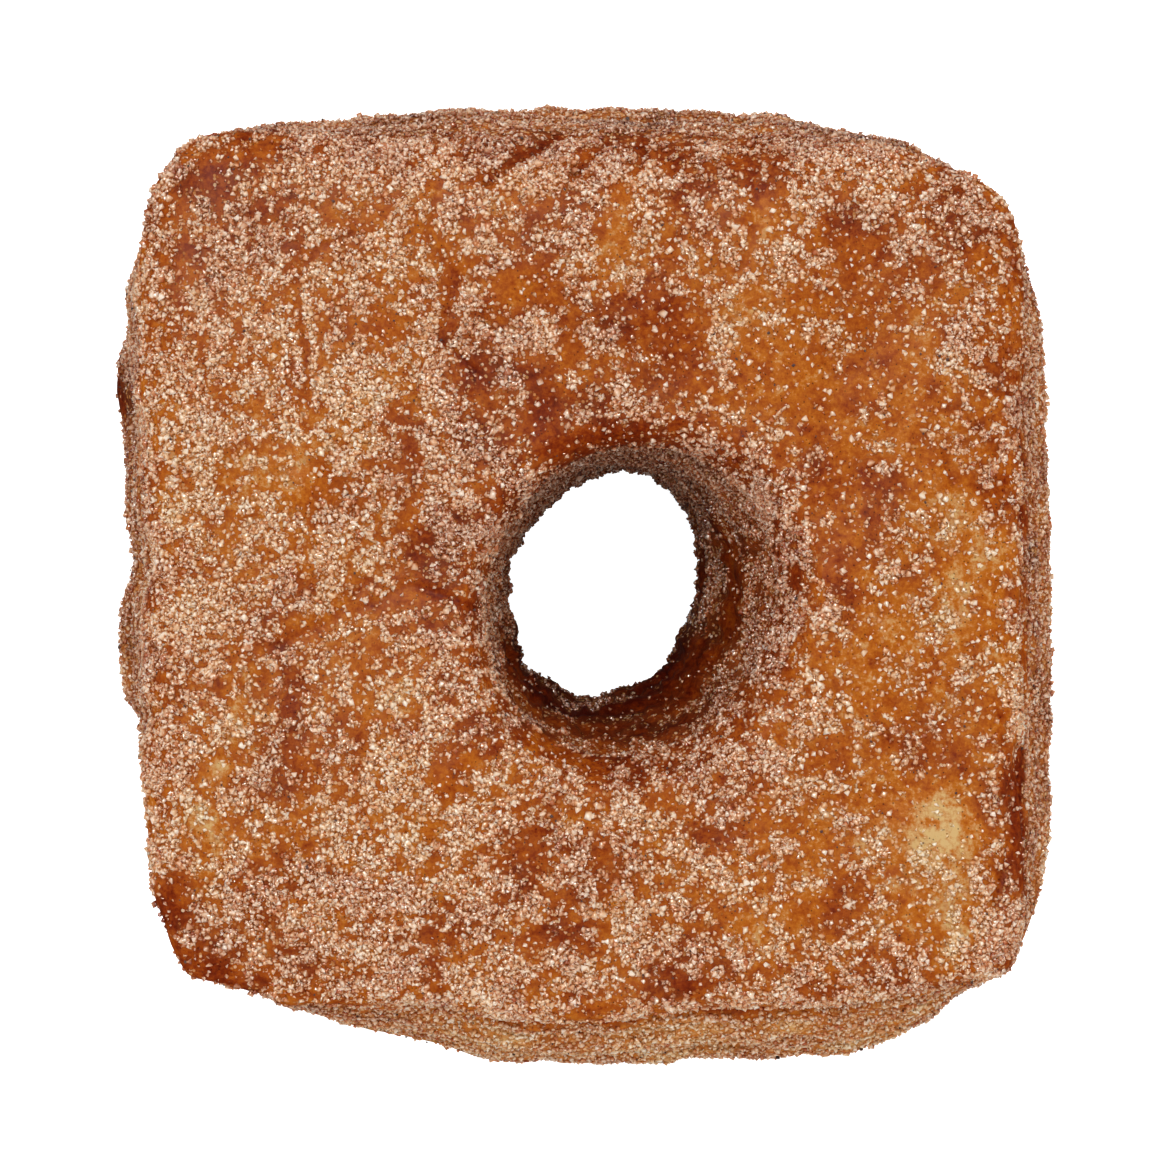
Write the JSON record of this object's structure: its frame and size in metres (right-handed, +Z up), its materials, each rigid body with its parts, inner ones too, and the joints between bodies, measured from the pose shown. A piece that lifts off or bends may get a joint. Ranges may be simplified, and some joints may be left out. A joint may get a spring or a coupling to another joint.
{
  "type": "croissant doughnut",
  "caption": "Square laminated doughnut with a round hole, layered sides and a crust rolled in cinnamon sugar, lying flat on its underside.",
  "frame": {"origin": "under the middle of the bounding box, on the surface the doughnut rests on", "axes": "+Z up, out of the sugared top face and along the hole; +Y towards the edge that is at the top of the picture; +X to its right"},
  "size_m": [0.093, 0.0956, 0.0421],
  "materials": {
    "sugared_crust": null
  },
  "bodies": {
    "root": {"croissant_doughnut": "sugared_crust"}
  },
  "joints": []
}
